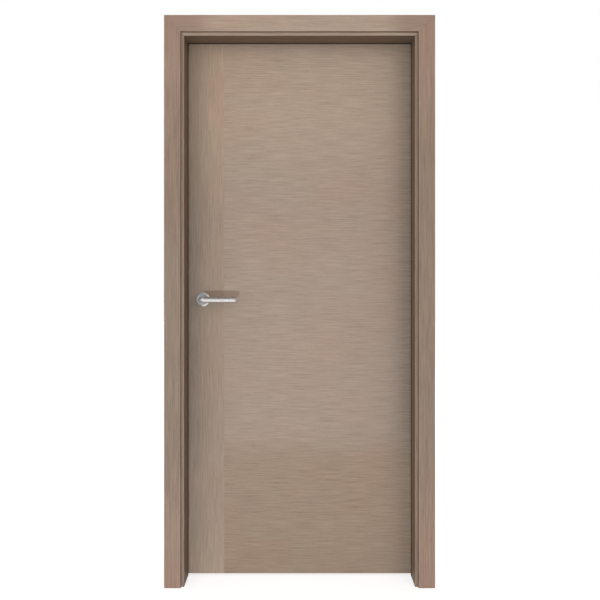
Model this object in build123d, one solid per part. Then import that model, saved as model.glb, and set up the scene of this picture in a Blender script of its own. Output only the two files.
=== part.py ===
from build123d import *
import os

# Interior door set: a flush leaf in a rebated lining, with architraves on both wall faces.
# +Z is up, X runs across the doorway, and the side that the leaf is pushed from faces -Y.
# The origin is at floor level on the outer face of the hinge-side lining, at half its depth.

# Door leaf
leaf_width = 868.0
leaf_height = 2030.0
leaf_thickness = 40.0
face_thickness = 3.5
lipping_width = 6.0
lipping_round = 1.0
lock_strip_width = 146.0
lock_stile_width = 94.0
hinge_stile_width = 34.0
rail_height = 90.0

# Clearances
side_gap = 5.0
head_gap = 5.0
floor_gap = 8.0
stop_clearance = 5.0
soft_clearance = 0.3
running_clearance = 0.3
fit_clearance = 0.15

# Lining: one rebated board on each side and one across the head
lining_depth = 125.0
lining_thickness = 40.0
stop_step = 14.0
lining_round = 1.0

# Architraves, each with a tongue glued in its back that slides into the lining's edge
architrave_width = 61.0
architrave_thickness = 9.0
architrave_round = 1.5
front_margin = 11.0
back_margin = 8.0
tongue_thickness = 4.4
tongue_length = 15.0
tongue_root = 4.0
tongue_inset = 8.0
relief_depth = 1.2
relief_overrun = 4.0

# Rubber seal, pressed into a kerf in the face of the stop
kerf_inset = 4.0
kerf_width = 3.0
kerf_depth = 7.0
bulb_projection = 0.5
bulb_width = 10.0
bulb_round = 1.6

# Lift-off hinges
hinge_height = 100.0
hinge_inset = 200.0
hinge_plate_depth = 30.0
hinge_plate_thickness = 2.5
hinge_corner = 8.0
knuckle_radius = 7.0
knuckle_standoff = 7.5
knuckle_chamfer = 0.7
pin_radius = 3.9
pin_reach = 44.0

# Tubular latch and its strike plate
spindle_height = 1055.0
backset = 65.0
faceplate_width = 25.0
faceplate_height = 57.0
faceplate_thickness = 3.0
faceplate_corner = 6.0
latch_tube_radius = 11.5
latch_tail = 12.0
bolt_width = 11.0
bolt_height = 16.0
bolt_length = 32.0
bolt_bevel = 9.0
strike_height = 60.0
strike_thickness = 2.5
strike_mouth_margin = 2.0
strike_lip_height = 26.0
strike_lip_round = 2.0
strike_pocket_depth = 12.0

# Lever handles on round roses, one on each side of a common square spindle
rose_radius = 27.0
rose_height = 8.5
rose_bevel = 5.5
rose_edge = 5.0
bar_radius = 11.0
bar_end_bevel = 1.0
lever_reach = 132.0
lever_standoff = 56.0
bend_radius = 15.0
journal_radius = 8.0
neck_clearance = 0.5
spindle_side = 8.0
spindle_bite = 28.0
spindle_hole_radius = 10.0
spindle_bore_radius = 6.0

# Places worked out from the sizes above
clear_width = leaf_width + 2 * side_gap - 2 * stop_step
clear_height = floor_gap + leaf_height + head_gap - stop_step
front_edge_y = -lining_depth / 2
back_edge_y = lining_depth / 2
leaf_back_y = back_edge_y
leaf_front_y = leaf_back_y - leaf_thickness
leaf_middle_y = (leaf_front_y + leaf_back_y) / 2
shoulder_y = leaf_front_y - stop_clearance
hinge_stop_x = -lining_thickness
lock_stop_x = hinge_stop_x - clear_width
centre_x = (hinge_stop_x + lock_stop_x) / 2
hinge_rebate_x = hinge_stop_x + stop_step
lock_rebate_x = lock_stop_x - stop_step
leaf_hinge_x = hinge_rebate_x - side_gap
leaf_lock_x = leaf_hinge_x - leaf_width
leaf_bottom_z = floor_gap
leaf_top_z = leaf_bottom_z + leaf_height
tongue_t = lining_thickness - tongue_inset
front_architrave_t = front_margin
back_architrave_t = stop_step + back_margin
pin_x = (leaf_hinge_x + hinge_rebate_x) / 2
pin_y = back_edge_y + knuckle_standoff
spindle_x = leaf_lock_x + backset
hinge_heights = {
    "bottom": leaf_bottom_z + hinge_inset,
    "middle": leaf_bottom_z + leaf_height / 2,
    "top": leaf_top_z - hinge_inset,
}
hinge_mitre = Plane(origin=(hinge_stop_x, 0, clear_height), z_dir=(-1, 0, 1))
lock_mitre = Plane(origin=(lock_stop_x, 0, clear_height), z_dir=(1, 0, 1))


def rectangle(t0, t1, y0, y1):
    """A rectangle from corner to corner in a profile's plane."""
    return Pos((t0 + t1) / 2, (y0 + y1) / 2) * Rectangle(t1 - t0, y1 - y0)


def block(x0, x1, y0, y1, z0, z1):
    """A box from corner to corner."""
    place = Pos((x0 + x1) / 2, (y0 + y1) / 2, (z0 + z1) / 2)
    return place * Box(x1 - x0, y1 - y0, z1 - z0)


def round_corners(profile, places, radius):
    """Round the corners of a profile that lie at the given places."""
    chosen = [v for v in profile.vertices() if (round(v.X, 3), round(v.Y, 3)) in places]
    return fillet(chosen, radius)


# A run's profile is drawn outwards from the clear opening: its x is the distance from the
# opening's edge into the wall, and its y is the door's depth.


def upright_run(profile, reach):
    """The hinge-side run of a profile, standing on the floor and mitred at the head."""
    run = extrude(Pos(hinge_stop_x, 0) * profile, amount=clear_height + reach)
    return split(run, bisect_by=hinge_mitre, keep=Keep.BOTTOM)


def head_run(profile, reach):
    """The run across the head, mitred at both ends."""
    start = Plane(
        origin=(hinge_stop_x + reach, 0, clear_height), x_dir=(0, 0, 1), z_dir=(-1, 0, 0)
    )
    run = extrude(start * profile, amount=clear_width + 2 * reach)
    run = split(run, bisect_by=hinge_mitre, keep=Keep.TOP)
    return split(run, bisect_by=lock_mitre, keep=Keep.TOP)


def to_lock_side(piece):
    """The mirror image of a hinge-side piece, on the lock side of the doorway."""
    return mirror(piece, about=Plane(origin=(centre_x, 0, 0), z_dir=(1, 0, 0)))


def lining_profile():
    """The lining board: stop, rebate, seal kerf and a tongue groove in each edge."""
    board = rectangle(0, lining_thickness, front_edge_y, back_edge_y)
    board -= rectangle(0, stop_step, shoulder_y, back_edge_y)
    board -= rectangle(kerf_inset, kerf_inset + kerf_width, shoulder_y - kerf_depth, shoulder_y)
    half_groove = tongue_thickness / 2 + running_clearance
    groove_depth = tongue_length + running_clearance
    groove = (tongue_t - half_groove, tongue_t + half_groove)
    board -= rectangle(*groove, front_edge_y, front_edge_y + groove_depth)
    board -= rectangle(*groove, back_edge_y - groove_depth, back_edge_y)
    arrises = [(0.0, round(front_edge_y, 3)), (0.0, round(shoulder_y, 3))]
    return round_corners(board, arrises, lining_round)


def architrave_profile(inner_t, wall_y, outward):
    """An architrave on the wall face at wall_y; outward is -1 at the front and 1 at the back."""
    outer_t = inner_t + architrave_width
    face_y = wall_y + outward * architrave_thickness
    board = rectangle(inner_t, outer_t, *sorted((wall_y, face_y)))
    arrises = [(round(inner_t, 3), round(face_y, 3)), (round(outer_t, 3), round(face_y, 3))]
    board = round_corners(board, arrises, architrave_round)
    relief_y = wall_y + outward * relief_depth
    board -= rectangle(tongue_t, lining_thickness + relief_overrun, *sorted((wall_y, relief_y)))
    return board - tongue_profile(wall_y, outward)


def tongue_profile(wall_y, outward):
    """The strip glued in an architrave's back, which slides into the groove in the lining."""
    root_y = wall_y + outward * tongue_root
    tip_y = wall_y - outward * tongue_length
    half = tongue_thickness / 2
    return rectangle(tongue_t - half, tongue_t + half, *sorted((root_y, tip_y)))


def seal_profile():
    """The rubber seal: a stem in the kerf and a rounded bulb between the stop and the leaf."""
    bulb_t = -bulb_projection
    bulb = rectangle(bulb_t, bulb_t + bulb_width, shoulder_y, leaf_front_y - soft_clearance)
    bulb = fillet(bulb.vertices(), bulb_round)
    stem = rectangle(
        kerf_inset + running_clearance,
        kerf_inset + kerf_width - running_clearance,
        shoulder_y - kerf_depth + running_clearance,
        shoulder_y + bulb_round,
    )
    return bulb + stem


def hinge_plate_outline(margin):
    """The outline of a hinge plate, seen along X, grown by a margin on its buried sides."""
    depth = hinge_plate_depth + margin
    height = hinge_height + 2 * margin
    outline = Pos(back_edge_y - depth / 2, 0) * Rectangle(depth, height)
    inner = outline.vertices().group_by(Axis.X)[0]
    return fillet(inner, hinge_corner)


def hinge_plate(face_x, direction, middle_z, margin=0.0):
    """A plate that lies flush in the face at face_x and reaches into it along direction."""
    start = Plane(origin=(face_x, 0, middle_z), x_dir=(0, 1, 0), z_dir=(1, 0, 0))
    outline = start * hinge_plate_outline(margin)
    return extrude(outline, amount=direction * hinge_plate_thickness)


def hinge_knuckle(z0, z1, radius):
    """A round length of the hinge about its pin, from z0 to z1."""
    return Pos(pin_x, pin_y, (z0 + z1) / 2) * Cylinder(radius, z1 - z0)


def hinge_half(face_x, direction, middle_z, joint_z, end_z):
    """A plate with its knuckle, which is eased at its free end and square at the joint."""
    z0, z1 = sorted((joint_z, end_z))
    knuckle = hinge_knuckle(z0, z1, knuckle_radius)
    rims = knuckle.edges().filter_by(GeomType.CIRCLE)
    rim = rims.sort_by(Axis.Z)[-1 if end_z > joint_z else 0]
    knuckle = chamfer(rim, knuckle_chamfer)
    x0, x1 = sorted((face_x, face_x + direction * hinge_plate_thickness))
    bridge = block(x0, x1, back_edge_y, pin_y, z0 + knuckle_chamfer, z1 - knuckle_chamfer)
    return hinge_plate(face_x, direction, middle_z) + bridge + knuckle


def hinge_frame_half(middle_z):
    """The lower half of a hinge, let into the lining, with the pin that stands in it."""
    bottom = middle_z - hinge_height / 2
    half = hinge_half(hinge_rebate_x, 1, middle_z, middle_z - running_clearance / 2, bottom)
    return half + hinge_knuckle(middle_z - pin_reach / 2, middle_z + pin_reach, pin_radius)


def hinge_leaf_half(middle_z):
    """The upper half of a hinge, let into the leaf's edge, which drops over the pin."""
    top = middle_z + hinge_height / 2
    half = hinge_half(leaf_hinge_x, -1, middle_z, middle_z + running_clearance / 2, top)
    bore_top = middle_z + pin_reach + running_clearance
    return half - hinge_knuckle(middle_z, bore_top, pin_radius + running_clearance)


def strike_outline(margin):
    """The strike plate seen along X: a plate round the mouth and a lip to the lining's edge."""
    plate_back = leaf_middle_y + faceplate_width / 2 + margin
    plate_front = leaf_middle_y - faceplate_width / 2 - margin
    plate = rectangle(
        plate_front, plate_back, -strike_height / 2 - margin, strike_height / 2 + margin
    )
    plate = fillet(plate.vertices(), faceplate_corner)
    half_lip = strike_lip_height / 2 + margin
    return plate + rectangle(leaf_middle_y, back_edge_y, -half_lip, half_lip)


def strike_mouth(grow):
    """The mouth that the latch bolt enters, seen along X."""
    width = bolt_width + 2 * strike_mouth_margin + grow
    height = bolt_height + 2 * strike_mouth_margin + grow
    return Pos(leaf_middle_y, 0) * Rectangle(width, height)


def lock_face(x):
    """A plane across X at the height of the latch, whose x is the door's depth."""
    return Plane(origin=(x, 0, spindle_height), x_dir=(0, 1, 0), z_dir=(1, 0, 0))


def strike_plate():
    """The plate let flush into the lock-side rebate, its lip rounded at the lining's edge."""
    outline = strike_outline(0) - strike_mouth(0)
    plate = extrude(lock_face(lock_rebate_x) * outline, amount=-strike_thickness)
    lip_edge = plate.edges().filter_by(Axis.Z).group_by(Axis.Y)[-1].sort_by(Axis.X)[-1]
    return fillet(lip_edge, strike_lip_round)


def lining_hinge_side():
    """The board that carries the hinges, with a recess for each plate."""
    board = upright_run(lining_profile(), lining_thickness)
    for middle_z in hinge_heights.values():
        board -= hinge_plate(hinge_rebate_x, 1, middle_z, fit_clearance)
    return board


def lining_lock_side():
    """The board that carries the strike plate, with its recess and the bolt's pocket."""
    board = to_lock_side(upright_run(lining_profile(), lining_thickness))
    board -= extrude(lock_face(lock_rebate_x) * strike_outline(fit_clearance), amount=-strike_thickness)
    pocket_depth = strike_thickness + strike_pocket_depth
    board -= extrude(lock_face(lock_rebate_x) * strike_mouth(strike_mouth_margin), amount=-pocket_depth)
    return board


def leaf_block(x0, x1, z0, z1):
    """A piece of the leaf's inside, between its two faces."""
    return block(x0, x1, leaf_front_y + face_thickness, leaf_back_y - face_thickness, z0, z1)


def lipping(x0, x1):
    """A solid strip on a long edge of the leaf, over its full thickness, arrises eased."""
    strip = block(x0, x1, leaf_front_y, leaf_back_y, leaf_bottom_z, leaf_top_z)
    outer = Axis.X if x1 == leaf_hinge_x else -Axis.X
    edges = strip.edges().filter_by(Axis.Z).group_by(outer)[-1]
    return fillet(edges, lipping_round)


def latch_tube(radius, x0, x1):
    """A round bar or bore along X on the latch's axis."""
    place = Pos((x0 + x1) / 2, leaf_middle_y, spindle_height) * Rot(0, 90, 0)
    return place * Cylinder(radius, x1 - x0)


def cross_bore(radius):
    """A bore along Y through the leaf on the spindle's axis."""
    place = Pos(spindle_x, leaf_middle_y, spindle_height) * Rot(90, 0, 0)
    return place * Cylinder(radius, 2 * leaf_thickness)


def faceplate(margin):
    """The latch's faceplate, flush in the leaf's lock edge."""
    outline = Rectangle(faceplate_width + 2 * margin, faceplate_height + 2 * margin)
    outline = Pos(leaf_middle_y, 0) * fillet(outline.vertices(), faceplate_corner)
    return extrude(lock_face(leaf_lock_x) * outline, amount=faceplate_thickness)


def latch_bolt():
    """The bolt drawn back level with the faceplate, its nose bevelled towards the stop."""
    half_width = bolt_width / 2
    nose_x = leaf_lock_x
    tail_x = leaf_lock_x + bolt_length
    outline = make_face(
        Polyline(
            (nose_x, leaf_middle_y + half_width),
            (tail_x, leaf_middle_y + half_width),
            (tail_x, leaf_middle_y - half_width),
            (nose_x + bolt_bevel, leaf_middle_y - half_width),
            (nose_x, leaf_middle_y + half_width / 2),
            close=True,
        )
    )
    return Pos(0, 0, spindle_height - bolt_height / 2) * extrude(outline, amount=bolt_height)


def latch_case():
    """The latch's faceplate and round case, bored for the bolt and the spindle."""
    tail_x = spindle_x + latch_tail
    case = faceplate(0) + latch_tube(latch_tube_radius, leaf_lock_x + faceplate_thickness, tail_x)
    half_width = bolt_width / 2 + running_clearance
    half_height = bolt_height / 2 + running_clearance
    case -= block(
        leaf_lock_x,
        leaf_lock_x + bolt_length + running_clearance,
        leaf_middle_y - half_width,
        leaf_middle_y + half_width,
        spindle_height - half_height,
        spindle_height + half_height,
    )
    return case - cross_bore(spindle_bore_radius)


def lipping_lock_side():
    """The lock-edge lipping, recessed for the faceplate and bored for the case."""
    strip = lipping(leaf_lock_x, leaf_lock_x + lipping_width)
    strip -= faceplate(fit_clearance)
    return strip - latch_tube(latch_tube_radius + fit_clearance, leaf_lock_x, leaf_lock_x + lipping_width)


def lipping_hinge_side():
    """The hinge-edge lipping with a recess for each hinge plate."""
    strip = lipping(leaf_hinge_x - lipping_width, leaf_hinge_x)
    for middle_z in hinge_heights.values():
        strip -= hinge_plate(leaf_hinge_x, -1, middle_z, fit_clearance)
    return strip


def stile_lock_side():
    """The wide stile inside the leaf that takes the latch and the handles."""
    x0 = leaf_lock_x + lipping_width
    stile = leaf_block(x0, x0 + lock_stile_width, leaf_bottom_z, leaf_top_z)
    tail_x = spindle_x + latch_tail + running_clearance
    stile -= latch_tube(latch_tube_radius + fit_clearance, x0, tail_x)
    return stile - cross_bore(spindle_hole_radius)


def leaf_face(x0, x1, outer_y):
    """A veneered sheet on one face of the leaf, from x0 to x1."""
    inward = 1 if outer_y == leaf_front_y else -1
    y0, y1 = sorted((outer_y, outer_y + inward * face_thickness))
    return block(x0, x1, y0, y1, leaf_bottom_z, leaf_top_z)


def handle_plane(outer_y, outward):
    """The plane of a leaf face at the spindle, its z pointing out of the leaf."""
    return Plane(origin=(spindle_x, outer_y, spindle_height), x_dir=(1, 0, 0), z_dir=(0, outward, 0))


def rose():
    """A round rose turned in one piece, bevelled at its rim and bored for the lever's neck."""
    bore = journal_radius + running_clearance
    section = make_face(
        Polyline(
            (bore, 0),
            (rose_radius, 0),
            (rose_radius, rose_edge),
            (rose_radius - rose_bevel, rose_height),
            (bore, rose_height),
            close=True,
        )
    )
    return revolve(Plane.XZ * section, axis=Axis.Z)


def lever():
    """A round bar bent through a right angle, with the neck that turns in the rose."""
    neck_z = rose_height + neck_clearance
    bend_z = lever_standoff - bend_radius
    neck = Pos(0, 0, neck_z) * extrude(Circle(bar_radius), amount=bend_z - neck_z)
    bend_axis = Axis((bend_radius, 0, bend_z), (0, 1, 0))
    elbow = revolve(Pos(0, 0, bend_z) * Circle(bar_radius), axis=bend_axis, revolution_arc=90)
    start = Plane(origin=(bend_radius, 0, lever_standoff), x_dir=(0, 1, 0), z_dir=(1, 0, 0))
    grip = extrude(start * Circle(bar_radius), amount=lever_reach - bend_radius)
    grip = chamfer(grip.edges().group_by(Axis.X)[-1], bar_end_bevel)
    journal = Pos(0, 0, neck_clearance) * extrude(Circle(journal_radius), amount=neck_z - neck_clearance)
    side = spindle_side + 2 * fit_clearance
    socket = extrude(Rectangle(side, side), amount=spindle_bite + running_clearance)
    return neck + elbow + grip + journal - socket


def spindle():
    """The square bar that joins the two levers through the latch."""
    length = leaf_thickness + 2 * spindle_bite
    return Pos(spindle_x, leaf_middle_y, spindle_height) * Box(spindle_side, length, spindle_side)


def frame_pieces():
    """The linings, the architraves and seals on them, and what is let into them."""
    pieces = {
        "lining_hinge_side": lining_hinge_side(),
        "lining_lock_side": lining_lock_side(),
        "lining_head": head_run(lining_profile(), lining_thickness),
        "strike_plate": strike_plate(),
    }
    strips = {
        "seal": seal_profile(),
        "architrave_front": architrave_profile(front_architrave_t, front_edge_y, -1),
        "architrave_back": architrave_profile(back_architrave_t, back_edge_y, 1),
        "tongue_front": tongue_profile(front_edge_y, -1),
        "tongue_back": tongue_profile(back_edge_y, 1),
    }
    for name, profile in strips.items():
        reach = profile.bounding_box().max.X
        upright = upright_run(profile, reach)
        pieces[f"{name}_hinge_side"] = upright
        pieces[f"{name}_lock_side"] = to_lock_side(upright)
        pieces[f"{name}_head"] = head_run(profile, reach)
    for name, middle_z in hinge_heights.items():
        pieces[f"hinge_{name}_frame_half"] = hinge_frame_half(middle_z)
    return pieces


def leaf_pieces():
    """The leaf's inside, its lippings and faces, and the fittings that it carries."""
    inner_lock_x = leaf_lock_x + lipping_width
    inner_hinge_x = leaf_hinge_x - lipping_width
    core_lock_x = inner_lock_x + lock_stile_width
    core_hinge_x = inner_hinge_x - hinge_stile_width
    core_bottom_z = leaf_bottom_z + rail_height
    core_top_z = leaf_top_z - rail_height
    strip_x = leaf_lock_x + lock_strip_width
    bore = cross_bore(spindle_hole_radius)
    pieces = {
        "leaf_core": leaf_block(core_lock_x, core_hinge_x, core_bottom_z, core_top_z),
        "leaf_stile_lock_side": stile_lock_side(),
        "leaf_stile_hinge_side": leaf_block(core_hinge_x, inner_hinge_x, leaf_bottom_z, leaf_top_z),
        "leaf_rail_bottom": leaf_block(core_lock_x, core_hinge_x, leaf_bottom_z, core_bottom_z),
        "leaf_rail_top": leaf_block(core_lock_x, core_hinge_x, core_top_z, leaf_top_z),
        "leaf_lipping_lock_side": lipping_lock_side(),
        "leaf_lipping_hinge_side": lipping_hinge_side(),
        "leaf_face_front_strip": leaf_face(inner_lock_x, strip_x, leaf_front_y) - bore,
        "leaf_face_front_field": leaf_face(strip_x, inner_hinge_x, leaf_front_y),
        "leaf_face_back_strip": leaf_face(inner_lock_x, strip_x, leaf_back_y) - bore,
        "leaf_face_back_field": leaf_face(strip_x, inner_hinge_x, leaf_back_y),
        "latch_case": latch_case(),
        "latch_bolt": latch_bolt(),
        "rose_front": handle_plane(leaf_front_y, -1) * rose(),
        "rose_back": handle_plane(leaf_back_y, 1) * rose(),
    }
    for name, middle_z in hinge_heights.items():
        pieces[f"hinge_{name}_leaf_half"] = hinge_leaf_half(middle_z)
    return pieces


def handle_pieces():
    """The two levers and the spindle, which turn together."""
    return {
        "lever_front": handle_plane(leaf_front_y, -1) * lever(),
        "lever_back": handle_plane(leaf_back_y, 1) * lever(),
        "spindle": spindle(),
    }


os.makedirs("parts", exist_ok=True)
for pieces in (frame_pieces(), leaf_pieces(), handle_pieces()):
    for name, piece in pieces.items():
        export_step(piece, f"parts/{name}.step")
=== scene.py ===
import math

import bmesh
import bpy
from mathutils import Matrix, Vector


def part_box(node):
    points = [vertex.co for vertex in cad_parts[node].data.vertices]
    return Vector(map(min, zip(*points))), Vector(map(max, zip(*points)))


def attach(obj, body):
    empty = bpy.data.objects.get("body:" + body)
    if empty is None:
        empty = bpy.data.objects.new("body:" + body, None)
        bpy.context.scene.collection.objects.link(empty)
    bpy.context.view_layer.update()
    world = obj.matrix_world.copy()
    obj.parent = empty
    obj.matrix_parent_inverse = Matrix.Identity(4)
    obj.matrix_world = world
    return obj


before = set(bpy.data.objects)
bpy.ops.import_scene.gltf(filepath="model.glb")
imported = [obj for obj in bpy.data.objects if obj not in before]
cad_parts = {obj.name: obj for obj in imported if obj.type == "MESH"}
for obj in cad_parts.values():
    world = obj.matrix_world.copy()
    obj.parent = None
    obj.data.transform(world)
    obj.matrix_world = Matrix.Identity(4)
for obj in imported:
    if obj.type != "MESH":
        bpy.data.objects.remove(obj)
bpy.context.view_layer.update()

# Lining
# Two uprights and a head of fibreboard, each with stop and rebate in one profile, wrapped in
# grey-brown oak veneer that runs along the board. The three meet in glued and screwed mitres.

hinge_stop_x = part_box("lining_hinge_side")[0].x
lock_stop_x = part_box("lining_lock_side")[1].x
clear_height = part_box("lining_head")[0].z
doorway_middle = (hinge_stop_x + lock_stop_x) / 2
doorway_half_width = (hinge_stop_x - lock_stop_x) / 2
lining_half_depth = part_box("lining_head")[1].y
lining_half_width = (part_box("lining_hinge_side")[1].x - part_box("lining_lock_side")[0].x) / 2
lining_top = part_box("lining_head")[1].z
leaf_gap = 0.005
stop_back_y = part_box("leaf_face_front_field")[0].y - leaf_gap

sway_stretch = (11.0, 5.0, 5.0)
sway_width = 0.001
line_stretch = (10.0, 260.0, 260.0)
line_depth_of_oak = 0.65
line_relief = -0.4
band_stretch = (4.0, 60.0, 60.0)
band_depth = 0.09
pore_stretch = (60.0, 1500.0, 1500.0)
pore_start = 0.58
pore_end = 0.70
pore_depth = 0.16
pore_balance = 0.02
pore_relief = -0.6
warm_stretch = (3.5, 5.0, 5.0)
warm_start = 0.42
warm_end = 0.62
warm_shade = (1.022, 0.977, 0.972)
veneer_smooth = 0.50
veneer_rough = 0.62
veneer_relief = 0.00012
veneer_relief_strength = 0.6
matt_lacquer = 0.25
pattern_low = 0.3
pattern_high = 0.7

mitre_line_width = 0.0003
mitre_line_brown = (0.16, 0.115, 0.085, 1)
lining_upright_brown = (0.275, 0.198, 0.146, 1)
lining_head_brown = (0.388, 0.292, 0.226, 1)
no_shade = (1, 1, 1, 1)
# Painted shade on the lining's reveals, and a painted shadow in the corner against the stop.
upright_reveal_painted_shade = (0.60, 0.54, 0.48, 1)
head_reveal_painted_shade = (0.45, 0.385, 0.325, 1)
reveal_start = 0.003
painted_corner_shadow = (0.10, 0.08, 0.06, 1)
painted_corner_shadow_depth = 0.018
paper_brown = (0.43, 0.315, 0.215, 1)
paper_dark = (0.34, 0.24, 0.155, 1)
paper_stretch = (300.0, 300.0, 90.0)
backing_thickness = 0.0015
mottle_start = 0.35
mottle_end = 0.65
level = (0, 0, 0)
upright = (0, math.radians(90), 0)


def add_node(tree, kind, inputs=(), **settings):
    """A shader node with its settings, and its inputs by name or number as values or as links."""
    made = tree.nodes.new(kind)
    for name, value in settings.items():
        setattr(made, name, value)
    feed(tree, made, dict(inputs))
    return made


def feed(tree, node, inputs):
    """Link sockets to a node's inputs and set its plain numbers and colours."""
    for name, value in inputs.items():
        if isinstance(value, bpy.types.NodeSocket):
            tree.links.new(value, node.inputs[name])
        else:
            node.inputs[name].default_value = value


def start_group(name, inputs, outputs):
    """A new shader node group with its sockets, and what comes in through them."""
    group = bpy.data.node_groups.new(name, "ShaderNodeTree")
    for socket, kind in inputs.items():
        group.interface.new_socket(socket, in_out="INPUT", socket_type="NodeSocket" + kind)
    for socket, kind in outputs.items():
        group.interface.new_socket(socket, in_out="OUTPUT", socket_type="NodeSocket" + kind)
    return group, group.nodes.new("NodeGroupInput").outputs


def use_group(tree, group, inputs):
    """What comes out of a shader node group that is placed in a material."""
    return add_node(tree, "ShaderNodeGroup", inputs, node_tree=group).outputs


def calculate(tree, operation, *values):
    """The result of one step of arithmetic on sockets and numbers."""
    return add_node(tree, "ShaderNodeMath", dict(enumerate(values)), operation=operation).outputs[0]


def calculate_vector(tree, operation, *values):
    """The result of one step of arithmetic on places or colours."""
    return add_node(tree, "ShaderNodeVectorMath", dict(enumerate(values)), operation=operation).outputs[0]


def scale_color(tree, color, shade):
    """A colour made darker or paler by a number."""
    return add_node(tree, "ShaderNodeVectorMath", {0: color, "Scale": shade}, operation="SCALE").outputs[0]


def blend_colors(tree, share, first, second):
    """A mix of two colours."""
    return add_node(tree, "ShaderNodeMix", {0: share, 6: first, 7: second}, data_type="RGBA").outputs[2]


def split_place(tree, place):
    """The X, Y and Z of a place."""
    return add_node(tree, "ShaderNodeSeparateXYZ", {0: place}).outputs


def turn_pattern(tree, place, turn, shift=(0, 0, 0)):
    """A place for a pattern that is turned, so that its X runs along the piece."""
    return add_node(
        tree, "ShaderNodeMapping", {"Vector": place, "Location": shift, "Rotation": turn}
    ).outputs[0]


def how_far(tree, value, middle):
    """How far a number lies from a middle, to either side."""
    return calculate(tree, "ABSOLUTE", calculate(tree, "SUBTRACT", value, middle))


def ramp(tree, value, start, end, low=0.0, high=1.0):
    """A value that runs smoothly from low to high between two places."""
    return add_node(
        tree,
        "ShaderNodeMapRange",
        {"Value": value, "From Min": start, "From Max": end, "To Min": low, "To Max": high},
        interpolation_type="SMOOTHSTEP",
    ).outputs["Result"]


def noise(tree, vector, stretch, detail, output="Fac"):
    """Noise over a space that is stretched along each axis."""
    stretched = calculate_vector(tree, "MULTIPLY", vector, stretch)
    return add_node(
        tree, "ShaderNodeTexNoise", {"Vector": stretched, "Scale": 1.0, "Detail": detail}
    ).outputs[output]


def vary(tree, pattern, low, high):
    """A number that follows a noise between two values."""
    return ramp(tree, pattern, pattern_low, pattern_high, low, high)


def mottle(tree, pattern, first, second):
    """Two colours that follow a noise."""
    return blend_colors(tree, ramp(tree, pattern, mottle_start, mottle_end), first, second)


def relieve(tree, height, depth, strength=1.0):
    """The normal of a surface with a fine relief."""
    return add_node(
        tree, "ShaderNodeBump", {"Height": height, "Distance": depth, "Strength": strength}
    ).outputs["Normal"]


def make_veneer_grain():
    """Straight-grained oak veneer, lacquered matt, with its grain along X."""
    group, given = start_group(
        "veneer_grain",
        {"Vector": "Vector", "Color": "Color", "Line Depth": "Float"},
        {"Color": "Color", "Roughness": "Float", "Height": "Float"},
    )
    sway = noise(group, given["Vector"], sway_stretch, 1.0, "Color")
    swayed = calculate_vector(group, "MULTIPLY_ADD", sway, (0, sway_width, sway_width), given["Vector"])
    lines = noise(group, swayed, line_stretch, 2.0)
    bands = noise(group, swayed, band_stretch, 1.0)
    pores = ramp(group, noise(group, swayed, pore_stretch, 1.0), pore_start, pore_end)

    warmth = ramp(group, noise(group, given["Vector"], warm_stretch, 2.0), warm_start, warm_end)
    warm = calculate_vector(group, "MULTIPLY", given["Color"], warm_shade)
    tone = blend_colors(group, warmth, given["Color"], warm)

    off_mean = calculate(group, "SUBTRACT", 0.5, lines)
    line_shade = calculate(group, "MULTIPLY_ADD", given["Line Depth"], off_mean, 1.0)
    band_shade = calculate(group, "MULTIPLY_ADD", bands, -band_depth, band_depth / 2)
    pore_shade = calculate(group, "MULTIPLY_ADD", pores, -pore_depth, pore_balance)
    shade = calculate(group, "ADD", line_shade, calculate(group, "ADD", band_shade, pore_shade))

    sunk_pores = calculate(group, "MULTIPLY", pores, pore_relief)
    results = {
        "Color": scale_color(group, tone, shade),
        "Roughness": vary(group, lines, veneer_smooth, veneer_rough),
        "Height": calculate(group, "MULTIPLY_ADD", lines, line_relief, sunk_pores),
    }
    add_node(group, "NodeGroupOutput", results)
    return group


def make_mitre_line():
    """A mask that is 1 in the fine line where the head and the uprights meet."""
    group, given = start_group(
        "mitre_line",
        {"Vector": "Vector", "Middle": "Float", "Half Width": "Float", "Height": "Float"},
        {"Mask": "Float"},
    )
    place = split_place(group, given["Vector"])
    off_middle = how_far(group, place["X"], given["Middle"])
    outwards = calculate(group, "SUBTRACT", off_middle, given["Half Width"])
    upwards = calculate(group, "SUBTRACT", place["Z"], given["Height"])
    distance = how_far(group, outwards, upwards)
    mask = ramp(group, distance, 0.5 * mitre_line_width, 1.5 * mitre_line_width, 1.0, 0.0)
    add_node(group, "NodeGroupOutput", {"Mask": mask})
    return group


veneer_grain = make_veneer_grain()
mitre_line = make_mitre_line()


def start_finish(name):
    """A new material: the material, its node tree, its shader and the place on the piece."""
    finish = bpy.data.materials.new(name)
    finish.use_nodes = True
    tree = finish.node_tree
    place = add_node(tree, "ShaderNodeTexCoord").outputs["Object"]
    return finish, tree, tree.nodes["Principled BSDF"], place


def give_finish(finish, *pieces):
    """Put a finish on CAD pieces."""
    for name in pieces:
        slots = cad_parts[name].data.materials
        slots.clear()
        slots.append(finish)


def veneered(name, color, run, line_depth=line_depth_of_oak, tint=None, mitred=False):
    """A finish of lacquered veneer whose grain runs upright or level."""
    finish, tree, shader, place = start_finish(name)
    along = turn_pattern(tree, place, run)
    grain = use_group(tree, veneer_grain, {"Vector": along, "Color": color, "Line Depth": line_depth})
    shown = grain["Color"]
    if tint:
        shown = tint(tree, place, shown)
    if mitred:
        doorway = {"Middle": doorway_middle, "Half Width": doorway_half_width, "Height": clear_height}
        line = use_group(tree, mitre_line, {"Vector": place, **doorway})
        shown = blend_colors(tree, line["Mask"], shown, mitre_line_brown)
    surface = {
        "Base Color": shown,
        "Roughness": grain["Roughness"],
        "Specular IOR Level": matt_lacquer,
        "Normal": relieve(tree, grain["Height"], veneer_relief, veneer_relief_strength),
    }
    feed(tree, shader, surface)
    return finish


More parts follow.
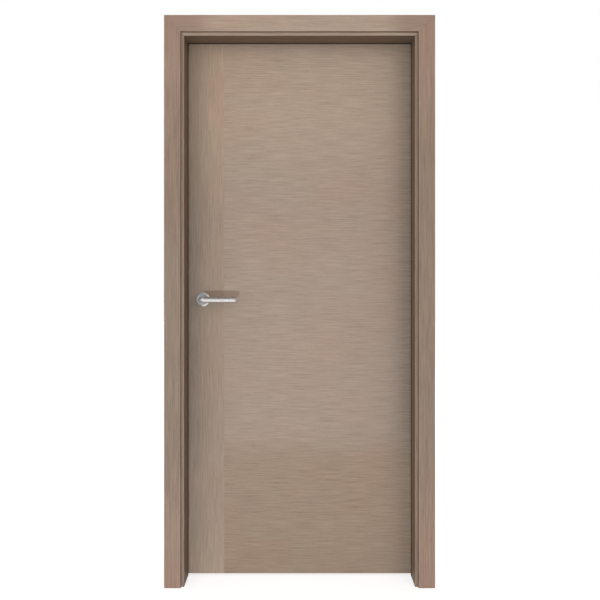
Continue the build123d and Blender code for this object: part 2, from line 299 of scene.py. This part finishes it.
def cover_back(tree, place, color):
    """Turn the face towards the wall to the brown paper that balances the veneer."""
    across = split_place(tree, place)
    beyond_side = calculate(tree, "SUBTRACT", how_far(tree, across["X"], doorway_middle), lining_half_width)
    beyond_top = calculate(tree, "SUBTRACT", across["Z"], lining_top)
    beyond = calculate(tree, "MAXIMUM", beyond_side, beyond_top)
    share = ramp(tree, beyond, -backing_thickness, -backing_thickness / 2)
    paper = mottle(tree, noise(tree, place, paper_stretch, 5.0), paper_dark, paper_brown)
    return blend_colors(tree, share, color, paper)


def paint_reveal_shade(reveal_painted_shade):
    """Painted shade on a lining board except on its edges, and a painted shadow at the corner of the stop.
    """

    def paint_shade_on_reveal(tree, place, color):
        depth = split_place(tree, place)["Y"]
        off_middle = calculate(tree, "ABSOLUTE", depth)
        edge_end = lining_half_depth - reveal_start
        edge = ramp(tree, off_middle, edge_end - reveal_start, edge_end)
        off_corner = how_far(tree, depth, stop_back_y)
        painted_inside = blend_colors(tree, ramp(tree, off_corner, 0.0, painted_corner_shadow_depth), painted_corner_shadow, reveal_painted_shade)
        shaded = calculate_vector(tree, "MULTIPLY", color, blend_colors(tree, edge, painted_inside, no_shade))
        return cover_back(tree, place, shaded)

    return paint_shade_on_reveal


upright_painted_shade = paint_reveal_shade(upright_reveal_painted_shade)
head_painted_shade = paint_reveal_shade(head_reveal_painted_shade)
upright_lining = veneered(
    "lining_upright_veneer", lining_upright_brown, upright, tint=upright_painted_shade, mitred=True
)
head_lining = veneered("lining_head_veneer", lining_head_brown, level, tint=head_painted_shade, mitred=True)
give_finish(upright_lining, "lining_hinge_side", "lining_lock_side")
give_finish(head_lining, "lining_head")


# Seal
# A dark brown rubber extrusion with a soft bulb, pressed into the kerf in the face of the stop
# on all three sides. The leaf closes against it.

seal_brown = (0.022, 0.013, 0.008, 1)
seal_worn_brown = (0.040, 0.026, 0.017, 1)
dusting_stretch = (40.0, 40.0, 40.0)
dusting_start = 0.4
dusting_end = 0.7
pitting_stretch = (1800.0, 1800.0, 1800.0)
pitting_depth = 0.00005

finish, tree, shader, place = start_finish("brown_rubber")
dusting = noise(tree, place, dusting_stretch, 4.0)
pitting = noise(tree, place, pitting_stretch, 1.0)
dusty = ramp(tree, dusting, dusting_start, dusting_end)
rubber_surface = {
    "Base Color": blend_colors(tree, dusty, seal_brown, seal_worn_brown),
    "Roughness": vary(tree, dusting, 0.55, 0.75),
    "Specular IOR Level": 0.3,
    "Normal": relieve(tree, pitting, pitting_depth),
}
feed(tree, shader, rubber_surface)
give_finish(finish, "seal_hinge_side", "seal_lock_side", "seal_head")


# Strike plate
# A pressed steel plate, nickel-plated and brushed, let flush into the lock-side rebate round the
# mouth for the latch bolt. Its lip guides the bolt in, and two countersunk screws hold it.

nickel_grey = (0.36, 0.348, 0.325, 1)
screw_grey = (0.44, 0.43, 0.41, 1)
scratch_stretch = (40.0, 2600.0, 2600.0)
scratch_depth = 0.08
scratch_relief = 0.000004
cloud_stretch = (60.0, 60.0, 60.0)

screw_radius = 0.0042
screw_sides = 20
screw_dome = 0.0009
screw_root = 0.0008
recess_arm = 0.5 * screw_radius
recess_squares = 5
recess_depth = 0.0007
first_turn = 0.3
turn_step = 0.9
strike_screw_reach = 0.023

spindle_low, spindle_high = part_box("spindle")
spindle_x = (spindle_low.x + spindle_high.x) / 2
spindle_y = (spindle_low.y + spindle_high.y) / 2
spindle_z = (spindle_low.z + spindle_high.z) / 2


def make_brushed_metal():
    """Brushed metal: fine scratches along X, and faint clouds from handling in its gloss."""
    group, given = start_group(
        "brushed_metal",
        {"Vector": "Vector", "Color": "Color", "Smooth": "Float", "Rough": "Float"},
        {"Color": "Color", "Roughness": "Float", "Height": "Float"},
    )
    scratches = noise(group, given["Vector"], scratch_stretch, 3.0)
    clouds = noise(group, given["Vector"], cloud_stretch, 3.0)
    shade = calculate(group, "MULTIPLY_ADD", scratches, scratch_depth, 1 - scratch_depth / 2)
    wear = calculate(group, "MULTIPLY", calculate(group, "ADD", clouds, scratches), 0.5)
    limits = {"From Min": pattern_low, "From Max": pattern_high}
    gloss = {"Value": wear, "To Min": given["Smooth"], "To Max": given["Rough"], **limits}
    results = {
        "Color": scale_color(group, given["Color"], shade),
        "Roughness": add_node(group, "ShaderNodeMapRange", gloss).outputs["Result"],
        "Height": scratches,
    }
    add_node(group, "NodeGroupOutput", results)
    return group


brushed_metal = make_brushed_metal()


def brushed(name, color, smooth, rough, turn=level, relief=scratch_relief):
    """A finish of brushed metal, with its scratches turned the way that the piece was brushed."""
    finish, tree, shader, place = start_finish(name)
    along = turn_pattern(tree, place, turn)
    metal = use_group(
        tree, brushed_metal, {"Vector": along, "Color": color, "Smooth": smooth, "Rough": rough}
    )
    surface = {
        "Base Color": metal["Color"],
        "Metallic": 1.0,
        "Roughness": metal["Roughness"],
        "Normal": relieve(tree, metal["Height"], relief),
    }
    feed(tree, shader, surface)
    return finish


plate_finish = brushed("brushed_nickel", nickel_grey, 0.20, 0.34, turn=upright)
screw_finish = brushed("plated_screw", screw_grey, 0.20, 0.32)


def open_edges(mesh):
    """The edges round a mesh's openings."""
    return [edge for edge in mesh.edges if edge.is_boundary]


def move_down(mesh, moved, depth):
    """Move the corners among what was just drawn out straight down."""
    corners = [part for part in moved if isinstance(part, bmesh.types.BMVert)]
    bmesh.ops.translate(mesh, verts=corners, vec=(0, 0, -depth))


def sink(mesh, faces, depth):
    """Sink faces straight down, with walls round them."""
    move_down(mesh, bmesh.ops.extrude_face_region(mesh, geom=faces)["geom"], depth)
    bmesh.ops.delete(mesh, geom=faces, context="FACES")


def add_root(mesh, depth):
    """Draw a screw's open edge straight down and close it underneath."""
    move_down(mesh, bmesh.ops.extrude_edge_only(mesh, edges=open_edges(mesh))["geom"], depth)
    bmesh.ops.holes_fill(mesh, edges=open_edges(mesh))
    bmesh.ops.recalc_face_normals(mesh, faces=mesh.faces)


def in_recess(face):
    """Whether a face of a screw's head lies in its cross."""
    middle = face.calc_center_median()
    narrow = min(abs(middle.x), abs(middle.y)) < recess_arm / recess_squares
    return face.normal.z > 0.5 and narrow and middle.length < recess_arm


def shape_screw(mesh, place):
    """A raised countersunk head with a cross recess, its axis along Z before it is placed.

    A known fault: the two rims are bridged in opposite senses, so that the faces of the ring
    between them lie across the recess.
    """
    head = bmesh.new()
    bmesh.ops.create_grid(
        head, x_segments=recess_squares, y_segments=recess_squares, size=recess_arm
    )
    inner_rim = open_edges(head)
    circle = bmesh.ops.create_circle(
        head, cap_ends=False, segments=screw_sides, radius=screw_radius
    )["verts"]
    outer_rim = [e for e in head.edges if e.verts[0] in circle and e.verts[1] in circle]
    ring = bmesh.ops.bridge_loops(head, edges=inner_rim + outer_rim)
    across = [e for e in ring["edges"] if not e.is_boundary and e not in inner_rim]
    bmesh.ops.subdivide_edges(head, edges=across, cuts=2, use_grid_fill=True)
    bmesh.ops.recalc_face_normals(head, faces=head.faces)
    for v in head.verts:
        v.co.z = screw_dome * (1 - v.co.xy.length_squared / screw_radius**2)
    head.normal_update()
    sink(head, [f for f in head.faces if in_recess(f)], recess_depth)
    add_root(head, screw_root)
    bmesh.ops.transform(head, matrix=place, verts=head.verts)
    made = bpy.data.meshes.new("screw_head")
    head.to_mesh(made)
    head.free()
    mesh.from_mesh(made)
    bpy.data.meshes.remove(made)


def add_piece(name, mesh, finish, body):
    """A new piece from a finished mesh, riding on a body of the frame."""
    data = bpy.data.meshes.new(name)
    mesh.to_mesh(data)
    mesh.free()
    data.materials.append(finish)
    piece = bpy.data.objects.new(name, data)
    bpy.context.scene.collection.objects.link(piece)
    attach(piece, body)


def add_screws(name, places, outwards, body):
    """The screws of one plate, their heads facing along X, each cross turned differently."""
    mesh = bmesh.new()
    for number, place in enumerate(places):
        turned = Matrix.Rotation(turn_step * number + first_turn, 4, "Z")
        faced = Matrix.Rotation(math.radians(90 * outwards), 4, "Y")
        shape_screw(mesh, Matrix.Translation(place) @ faced @ turned)
    add_piece(name, mesh, screw_finish, body)


def above_and_below_latch(x, reach):
    """Two places on one face, one above the latch and one below it."""
    return [(x, spindle_y, spindle_z + reach), (x, spindle_y, spindle_z - reach)]


give_finish(plate_finish, "strike_plate")
strike_face_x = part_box("strike_plate")[1].x
strike_screw_places = above_and_below_latch(strike_face_x, strike_screw_reach)
add_screws("strike_plate_screws", strike_screw_places, 1, "frame")


# Hinges, frame halves
# Three lift-off hinges of brushed nickel-plated steel. The lower half of each, with its pin, is
# screwed into a recess in the hinge-side rebate.

hinge_places = ("bottom", "middle", "top")
hinge_screw_rise = 0.037
hinge_screw_inset = 0.009
hinge_screw_zigzag = 0.012
hinge_half_height = (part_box("hinge_top_leaf_half")[1].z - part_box("hinge_top_frame_half")[0].z) / 2
leaf_edge_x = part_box("leaf_lipping_hinge_side")[1].x
rebate_x = leaf_edge_x + leaf_gap


def add_hinge_screws(name, where, half, face_x, outwards, body):
    """Four screws in a zigzag on one plate of a hinge, clear of its knuckle."""
    front_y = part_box(f"hinge_{where}_{half}")[0].y + hinge_screw_inset
    middle_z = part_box(f"hinge_{where}_frame_half")[0].z + hinge_half_height
    places = []
    for number, share in enumerate((-1.0, -1 / 3, 1 / 3, 1.0)):
        y = front_y + (hinge_screw_zigzag if number % 2 else 0)
        places.append((face_x, y, middle_z + share * hinge_screw_rise))
    add_screws(name, places, outwards, body)


for where in hinge_places:
    give_finish(plate_finish, f"hinge_{where}_frame_half")
    add_hinge_screws(f"hinge_{where}_frame_screws", where, "frame_half", rebate_x, -1, "frame")


# Tongues
# Strips of bare fibreboard, glued into the backs of the architraves. They slide into the grooves
# in the lining's edges, which takes up small differences in the wall's thickness.

board_brown = (0.30, 0.20, 0.125, 1)
board_pale = (0.42, 0.30, 0.20, 1)
board_stretch = (900.0, 900.0, 900.0)
fibre_relief = 0.0001

finish, tree, shader, place = start_finish("bare_fibreboard")
fibres = noise(tree, place, board_stretch, 4.0)
board_surface = {
    "Base Color": mottle(tree, fibres, board_brown, board_pale),
    "Roughness": vary(tree, fibres, 0.75, 0.9),
    "Normal": relieve(tree, fibres, fibre_relief),
}
feed(tree, shader, board_surface)
for side in ("front", "back"):
    give_finish(finish, *(f"tongue_{side}_{run}" for run in ("hinge_side", "lock_side", "head")))


# Architraves
# Flat boards of veneered fibreboard on both faces of the wall, mitred at the head and pushed on
# by their tongues. The head's veneer is paler over the middle and pinker towards its ends, its
# ends darkened with painted shade. Painted light makes the uprights paler and pinker at their
# ends, and painted shade darkens the inner edges.

upright_brown = (0.265, 0.190, 0.140, 1)
head_brown = (0.408, 0.308, 0.236, 1)
head_line_depth = 0.5
# Painted shade at the head's ends and painted light at the uprights' ends.
head_end_painted_shade = (0.79, 0.74, 0.735, 1)
head_fade_start = 0.30
head_fade_end = 0.40
upright_end_painted_light = (1.235, 1.17, 1.175, 1)
upright_fade_start = 0.45
upright_fade_end = 1.0
# Painted shade on the architraves' inner edges.
inner_edge_painted_shade = (0.55, 0.50, 0.45, 1)
inner_edge_width = 0.001
head_inner_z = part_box("architrave_front_head")[0].z
inner_half_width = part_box("architrave_front_hinge_side")[0].x - doorway_middle


def paint_light_towards_ends(tree, color, off_middle, fade_start, fade_end, end_shade):
    """Paint light and shade onto a board's veneer towards both ends."""
    shade = blend_colors(tree, ramp(tree, off_middle, fade_start, fade_end), no_shade, end_shade)
    return calculate_vector(tree, "MULTIPLY", color, shade)


def paint_inner_edge_shade(tree, color, across, inner_edge):
    """Paint shade on the narrow edge towards the doorway, where the veneer turns over it."""
    share = ramp(tree, across, inner_edge + inner_edge_width / 2, inner_edge + inner_edge_width)
    return calculate_vector(tree, "MULTIPLY", color, blend_colors(tree, share, inner_edge_painted_shade, no_shade))


def paint_head_shade(tree, place, color):
    """Paint shade on the head's lower edge and towards both ends."""
    across = split_place(tree, place)
    edged = paint_inner_edge_shade(tree, color, across["Z"], head_inner_z)
    off_middle = how_far(tree, across["X"], doorway_middle)
    return paint_light_towards_ends(tree, edged, off_middle, head_fade_start, head_fade_end, head_end_painted_shade)


def paint_upright_light(tree, place, color):
    """Paint shade on an upright's inner edge, and paint light at its ends, paler and pinker."""
    across = split_place(tree, place)
    edged = paint_inner_edge_shade(tree, color, how_far(tree, across["X"], doorway_middle), inner_half_width)
    off_middle = how_far(tree, across["Z"], clear_height / 2)
    return paint_light_towards_ends(tree, edged, off_middle, upright_fade_start, upright_fade_end, upright_end_painted_light)


upright_finish = veneered(
    "architrave_upright_veneer", upright_brown, upright, tint=paint_upright_light, mitred=True
)
head_finish = veneered(
    "architrave_head_veneer", head_brown, level, head_line_depth, tint=paint_head_shade, mitred=True
)
for side in ("front", "back"):
    give_finish(upright_finish, f"architrave_{side}_hinge_side", f"architrave_{side}_lock_side")
    give_finish(head_finish, f"architrave_{side}_head")


# Inside of the leaf
# Stiles and rails of bare softwood round a chipboard core, glued between the two faces. Their
# sawn ends and edges show on the leaf's top and bottom.

pine_pale = (0.62, 0.46, 0.29, 1)
pine_dark = (0.46, 0.29, 0.15, 1)
ring_shift = (0, 0.07, 0.03)
ring_squeeze = (0.06, 1, 1)
ring_shape = {"Scale": 85.0, "Distortion": 3.0, "Detail": 2.0, "Detail Scale": 1.2}
ring_share = 0.6
pine_stretch = (25.0, 900.0, 900.0)
chip_dark = (0.36, 0.25, 0.15, 1)
chip_pale = (0.60, 0.46, 0.31, 1)
chip_stretch = (160, 420, 160)
dust_stretch = (700.0, 700.0, 700.0)


def softwood(name, run):
    """Bare pine with its growth rings and the grain along the piece."""
    finish, tree, shader, place = start_finish(name)
    along = turn_pattern(tree, place, run, ring_shift)
    squeezed = calculate_vector(tree, "MULTIPLY", along, ring_squeeze)
    rings = add_node(
        tree,
        "ShaderNodeTexWave",
        {"Vector": squeezed, **ring_shape},
        wave_type="RINGS",
        rings_direction="X",
    ).outputs["Fac"]
    fibres = noise(tree, along, pine_stretch, 3.0)
    fibre_share = calculate(tree, "MULTIPLY", fibres, 1 - ring_share)
    share = calculate(tree, "MULTIPLY_ADD", rings, ring_share, fibre_share)
    surface = {
        "Base Color": blend_colors(tree, share, pine_pale, pine_dark),
        "Roughness": vary(tree, fibres, 0.65, 0.85),
        "Normal": relieve(tree, fibres, fibre_relief),
    }
    feed(tree, shader, surface)
    return finish


give_finish(softwood("pine_upright", upright), "leaf_stile_lock_side", "leaf_stile_hinge_side")
give_finish(softwood("pine_level", level), "leaf_rail_bottom", "leaf_rail_top")

finish, tree, shader, place = start_finish("chipboard")
chip_place = calculate_vector(tree, "MULTIPLY", place, chip_stretch)
chips = add_node(tree, "ShaderNodeTexVoronoi", {"Vector": chip_place}).outputs["Color"]
chip_tone = add_node(tree, "ShaderNodeSeparateColor", {0: chips}).outputs[0]
chip_surface = {
    "Base Color": blend_colors(tree, chip_tone, chip_dark, chip_pale),
    "Roughness": vary(tree, noise(tree, place, dust_stretch, 2.0), 0.7, 0.9),
}
feed(tree, shader, chip_surface)
give_finish(finish, "leaf_core")


# Lippings
# Strips of solid oak, stained to the veneer, on both long edges of the leaf. They are glued on
# after the faces, planed flush, and cut in for the hinges and the latch.

# Darker than the faces' veneer: painted shade for the dark line along the leaf's edges.
lipping_brown_painted_shade = (0.235, 0.168, 0.122, 1)
lipping_line_depth = 0.6

lipping_finish = veneered("lipping_oak", lipping_brown_painted_shade, upright, lipping_line_depth)
give_finish(lipping_finish, "leaf_lipping_lock_side", "leaf_lipping_hinge_side")


# Faces of the leaf
# Fibreboard sheets with oak veneer laid in two directions: a strip with upright grain along the
# lock edge, and a field with level grain over the rest. The field is a little darker low down and
# has painted light at the top, the strip has painted light towards both ends, and both have
# painted shade towards the leaf's long edges.

strip_brown = (0.341, 0.252, 0.187, 1)
# Painted light towards the strip's ends.
strip_end_painted_light = (1.245, 1.225, 1.20, 1)
strip_darkest_height = 0.80
strip_fade_start = 0.48
strip_fade_end = 1.0
field_brown = (0.361, 0.272, 0.209, 1)
low_shade = (0.895, 0.855, 0.795, 1)
low_shade_start = 0.57
low_shade_end = 0.42
# Painted light at the top of the field.
top_painted_light = (1.13, 1.135, 1.115, 1)
top_painted_light_start = 1.4
top_painted_light_end = 1.8
# Painted shade towards the leaf's long edges, where the reveals shut out light.
edge_reach = 0.07
edge_painted_shade = -0.28
low_edge_painted_shade = -0.08
low_edge_start = 0.62
low_edge_end = 0.36


def paint_leaf_edge_shade(tree, place, color):
    """Paint shade on the veneer gently towards the leaf's long edges, less so low down."""
    across = split_place(tree, place)
    off_middle = how_far(tree, across["X"], doorway_middle)
    inwards = calculate(tree, "SUBTRACT", off_middle, doorway_half_width)
    nearness = calculate(tree, "EXPONENT", calculate(tree, "DIVIDE", inwards, edge_reach))
    darkening = ramp(tree, across["Z"], low_edge_end, low_edge_start, low_edge_painted_shade, edge_painted_shade)
    return scale_color(tree, color, calculate(tree, "MULTIPLY_ADD", nearness, darkening, 1.0))


def paint_strip_light(tree, place, color):
    """Paint light on the strip's veneer towards both ends, and shade at the leaf's edge."""
    off_darkest = how_far(tree, split_place(tree, place)["Z"], strip_darkest_height)
    paler = paint_light_towards_ends(tree, color, off_darkest, strip_fade_start, strip_fade_end, strip_end_painted_light)
    return paint_leaf_edge_shade(tree, place, paler)


def paint_field_light(tree, place, color):
    """Darken the field's veneer low down, paint light on it at the top, and shade at its edges."""
    height = split_place(tree, place)["Z"]
    low = blend_colors(tree, ramp(tree, height, low_shade_end, low_shade_start), low_shade, no_shade)
    shade = blend_colors(tree, ramp(tree, height, top_painted_light_start, top_painted_light_end), low, top_painted_light)
    return paint_leaf_edge_shade(tree, place, calculate_vector(tree, "MULTIPLY", color, shade))


strip_finish = veneered("face_strip_veneer", strip_brown, upright, tint=paint_strip_light)
field_finish = veneered("face_field_veneer", field_brown, level, tint=paint_field_light)
for side in ("front", "back"):
    give_finish(strip_finish, f"leaf_face_{side}_strip")
    give_finish(field_finish, f"leaf_face_{side}_field")


# Hinges, leaf halves
# The upper half of each hinge, with the socket that drops over the pin, screwed into a recess in
# the leaf's hinge edge.

for where in hinge_places:
    give_finish(plate_finish, f"hinge_{where}_leaf_half")
    add_hinge_screws(f"hinge_{where}_leaf_screws", where, "leaf_half", leaf_edge_x, 1, "leaf")


# Latch
# A tubular latch of plated steel in a bore in the lock stile. Its faceplate lies flush in the
# edge, held by two screws, and its sprung bolt is drawn back here.

bolt_grey = (0.58, 0.565, 0.54, 1)
latch_screw_reach = 0.0215

give_finish(plate_finish, "latch_case")
give_finish(brushed("latch_bolt_steel", bolt_grey, 0.18, 0.30), "latch_bolt")
latch_face_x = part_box("latch_case")[0].x
latch_screw_places = above_and_below_latch(latch_face_x, latch_screw_reach)
add_screws("latch_screws", latch_screw_places, -1, "leaf")


# Roses
# Round covers of satin stainless steel, turned with a bevelled rim and clipped over a base plate
# that is screwed through the leaf.

# The face's dark grey is a painted reflection of shade and the rim's pale grey a painted highlight; the
# rim's higher gloss is real polish.
rose_face_shaded_grey = (0.36, 0.355, 0.345, 1)
rim_highlight_grey = (0.66, 0.65, 0.64, 1)
rose_radius = (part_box("rose_front")[1].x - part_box("rose_front")[0].x) / 2
rim_start = 0.76 * rose_radius
rim_end = 0.82 * rose_radius
rose_gloss = 0.28
rim_gloss = 0.16
turning_pitch = 5000.0
turning_roughness = 0.16
turning_relief = 0.000003

finish, tree, shader, place = start_finish("turned_steel")
from_axis = calculate_vector(tree, "SUBTRACT", place, (spindle_x, 0, spindle_z))
across = calculate_vector(tree, "MULTIPLY", from_axis, (1, 0, 1))
radius = add_node(tree, "ShaderNodeVectorMath", {0: across}, operation="LENGTH").outputs["Value"]
turning = add_node(
    tree,
    "ShaderNodeTexNoise",
    {"W": calculate(tree, "MULTIPLY", radius, turning_pitch), "Scale": 1.0, "Detail": 2.0},
    noise_dimensions="1D",
).outputs["Fac"]
rim = ramp(tree, radius, rim_start, rim_end)
gloss = ramp(tree, rim, 0.0, 1.0, rose_gloss, rim_gloss)
rose_surface = {
    "Base Color": blend_colors(tree, rim, rose_face_shaded_grey, rim_highlight_grey),
    "Metallic": 0.6,
    "Roughness": calculate(tree, "MULTIPLY_ADD", turning, turning_roughness, gloss),
    "Normal": relieve(tree, turning, turning_relief),
}
feed(tree, shader, rose_surface)
give_finish(finish, "rose_front", "rose_back")


# Spindle
# A square zinc-plated steel bar that passes through the latch and joins the two levers.

zinc_grey = (0.42, 0.42, 0.42, 1)
give_finish(brushed("zinc_plate", zinc_grey, 0.30, 0.45, turn=(0, 0, math.radians(90))), "spindle")


# Levers
# Round bars of satin stainless steel, bent through a right angle and brushed lengthwise, with a
# duller bend where the belt hardly reaches. A grub screw under each neck clamps it on the spindle.

steel_grey = (0.62, 0.61, 0.595, 1)
steel_relief = 0.000001
bar_radius = (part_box("lever_front")[1].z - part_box("lever_front")[0].z) / 2
bend_end = 1.6 * bar_radius
bend_metallic = 0.6

black_grey = (0.10, 0.10, 0.105, 1)
grub_radius = 0.0024
grub_sides = 24
grub_rise = 0.0004
grub_root = 0.001
grub_socket_radius = 0.0013
grub_socket_depth = 0.0003
neck_middle = 0.030

lever_finish = brushed("brushed_steel", steel_grey, 0.25, 0.30, relief=steel_relief)
tree = lever_finish.node_tree
place = add_node(tree, "ShaderNodeTexCoord").outputs["Object"]
off_neck = how_far(tree, split_place(tree, place)["X"], spindle_x)
metallic = ramp(tree, off_neck, bar_radius, bend_end, bend_metallic, 1.0)
feed(tree, tree.nodes["Principled BSDF"], {"Metallic": metallic})
give_finish(lever_finish, "lever_front", "lever_back")


def shape_grub_screw(place):
    """The end of a grub screw with its socket, its axis along Z before it is placed."""
    mesh = bmesh.new()
    bmesh.ops.create_circle(mesh, cap_ends=True, segments=grub_sides, radius=grub_radius)
    mesh.faces.ensure_lookup_table()
    top = mesh.faces[0]
    if top.normal.z < 0:
        bmesh.ops.reverse_faces(mesh, faces=[top])
    rim_width = grub_radius - grub_socket_radius
    bmesh.ops.inset_region(
        mesh, faces=[top], thickness=rim_width, use_even_offset=True, use_boundary=True
    )
    sink(mesh, [top], grub_socket_depth)
    add_root(mesh, grub_root)
    bmesh.ops.transform(mesh, matrix=place, verts=mesh.verts)
    return mesh


grub_finish = brushed("black_steel", black_grey, 0.35, 0.5)
grub_z = spindle_z - bar_radius - grub_rise
front_grub_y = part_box("leaf_face_front_strip")[0].y - neck_middle
back_grub_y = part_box("leaf_face_back_strip")[1].y + neck_middle
for side, grub_y in (("front", front_grub_y), ("back", back_grub_y)):
    under_neck = Matrix.Translation((spindle_x, grub_y, grub_z)) @ Matrix.Rotation(math.pi, 4, "X")
    grub_screw = shape_grub_screw(under_neck)
    add_piece(f"lever_{side}_grub_screw", grub_screw, grub_finish, "handle")


# Room light
# Four tall soft panels in the room's corners do most of the lighting. A small lamp in front, low
# and a little to the left, adds the lever's shadow, and a pale surround fills the rest.

surround_strength = 0.6
backdrop_white = 1.0
ceiling_grey = 0.33
ceiling_start = 0.45
ceiling_end = 0.75
lamp_offset = Vector((-0.5, -2.6, 0.12))
lamp_size = 0.2
lamp_power = 29.0
lamp_tone = (0.815, 1.0, 1.185)
panel_width = 2.8
panel_height = 4.0
panel_off_side = 3.2
panel_off_front = 3.95
panel_middle_height = 2.6
front_panel_power = 50.0
back_panel_power = 80.0
front_panel_tone = (1.10, 1.0, 0.88)
back_panel_tone = (1.035, 1.0, 0.965)
aim_height = 1.05


def sees_backdrop(tree):
    """1 for rays that look at the surround: from the camera, in a reflection or through glass."""
    rays = add_node(tree, "ShaderNodeLightPath").outputs
    either = calculate(tree, "MAXIMUM", rays["Is Camera Ray"], rays["Is Glossy Ray"])
    return calculate(tree, "MAXIMUM", either, rays["Is Transmission Ray"])


def add_light(name, shape, size, power, tone, place, target):
    """An area light that faces a target and shows itself to nobody, nor in a reflection."""
    data = bpy.data.lights.new(name, "AREA")
    data.shape = shape
    data.size, data.size_y = size
    data.energy = power
    data.color = tone
    light = bpy.data.objects.new(name, data)
    light.location = place
    light.rotation_euler = (target - place).to_track_quat("-Z", "Y").to_euler()
    light.visible_camera = False
    light.visible_glossy = False
    bpy.context.scene.collection.objects.link(light)


def add_panels(y_side, power, tone):
    """A pair of panels in the two corners before or behind the door."""
    for x_side in (-1, 1):
        x = doorway_middle + x_side * panel_off_side
        place = Vector((x, y_side * panel_off_front, panel_middle_height))
        target = Vector((doorway_middle, 0, panel_middle_height))
        add_light("corner_panel", "RECTANGLE", (panel_width, panel_height), power, tone, place, target)


world = bpy.data.worlds.new("surround")
world.use_nodes = True
tree = world.node_tree
tree.nodes.clear()
direction = add_node(tree, "ShaderNodeTexCoord").outputs["Generated"]
height = split_place(tree, direction)["Z"]
seen_light = ramp(tree, height, ceiling_start, ceiling_end, backdrop_white, ceiling_grey)
levels = {"Value": sees_backdrop(tree), "To Min": surround_strength, "To Max": seen_light}
strength = add_node(tree, "ShaderNodeMapRange", levels).outputs["Result"]
background = add_node(tree, "ShaderNodeBackground", {"Color": (1, 1, 1, 1), "Strength": strength})
add_node(tree, "ShaderNodeOutputWorld", {"Surface": background.outputs[0]})
bpy.context.scene.world = world

lamp_place = Vector((doorway_middle, 0, 0)) + lamp_offset
lamp_target = Vector((doorway_middle, 0, aim_height))
add_light("front_lamp", "DISK", (lamp_size, lamp_size), lamp_power, lamp_tone, lamp_place, lamp_target)
add_panels(-1, front_panel_power, front_panel_tone)
add_panels(1, back_panel_power, back_panel_tone)


# Floor
# A plain pale floor that the door stands on. It is white to the eye, apart from the shadow of
# what stands on it.

floor_reach = 12.0
floor_glow_near = 0.73
floor_glow_far = 0.82
glow_near_radius = 0.8
glow_far_radius = 3.6
floor_seen_grey = (0.5, 0.5, 0.5, 1)
floor_pale = (0.45, 0.45, 0.45, 1)

under_door = Matrix.Translation((doorway_middle, 0, 0))
floor_mesh = bmesh.new()
bmesh.ops.create_grid(floor_mesh, x_segments=1, y_segments=1, size=floor_reach, matrix=under_door)
floor_data = bpy.data.meshes.new("floor")
floor_mesh.to_mesh(floor_data)
floor_mesh.free()
floor = bpy.data.objects.new("floor", floor_data)
bpy.context.scene.collection.objects.link(floor)

floor_paint = bpy.data.materials.new("floor_paint")
floor_paint.use_nodes = True
tree = floor_paint.node_tree
tree.nodes.clear()
place = add_node(tree, "ShaderNodeTexCoord").outputs["Object"]
away = add_node(
    tree, "ShaderNodeVectorMath", {0: place, 1: (doorway_middle, 0, 0)}, operation="DISTANCE"
).outputs["Value"]
glow_strength = ramp(tree, away, glow_near_radius, glow_far_radius, floor_glow_near, floor_glow_far)
lit = add_node(tree, "ShaderNodeBsdfDiffuse", {"Color": floor_pale}).outputs[0]
seen = add_node(tree, "ShaderNodeBsdfDiffuse", {"Color": floor_seen_grey}).outputs[0]
glow = add_node(tree, "ShaderNodeEmission", {"Strength": glow_strength}).outputs[0]
seen_glow = add_node(tree, "ShaderNodeAddShader", {0: seen, 1: glow}).outputs[0]
paint = add_node(tree, "ShaderNodeMixShader", {0: sees_backdrop(tree), 1: lit, 2: seen_glow})
add_node(tree, "ShaderNodeOutputMaterial", {"Surface": paint.outputs[0]})
floor_data.materials.append(floor_paint)


# Camera
# The door is seen square on from chest height, with its uprights parallel. The camera stays level
# and its lens is shifted down until the whole door is in the frame.

view_distance = 2.195
eye_height = 1.155
lens_length = 35.95
sensor_size = 36.0
lens_drop = -0.045
lens_side = 0.0007

front_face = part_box("architrave_front_head")[0].y
camera_data = bpy.data.cameras.new("camera")
camera_data.lens = lens_length
camera_data.sensor_width = sensor_size
camera_data.shift_x = lens_side
camera_data.shift_y = lens_drop
camera = bpy.data.objects.new("camera", camera_data)
camera.location = (doorway_middle, front_face - view_distance, eye_height)
camera.rotation_euler = (math.radians(90), 0, 0)
bpy.context.scene.collection.objects.link(camera)
bpy.context.scene.camera = camera
bpy.context.scene.view_settings.view_transform = "Standard"
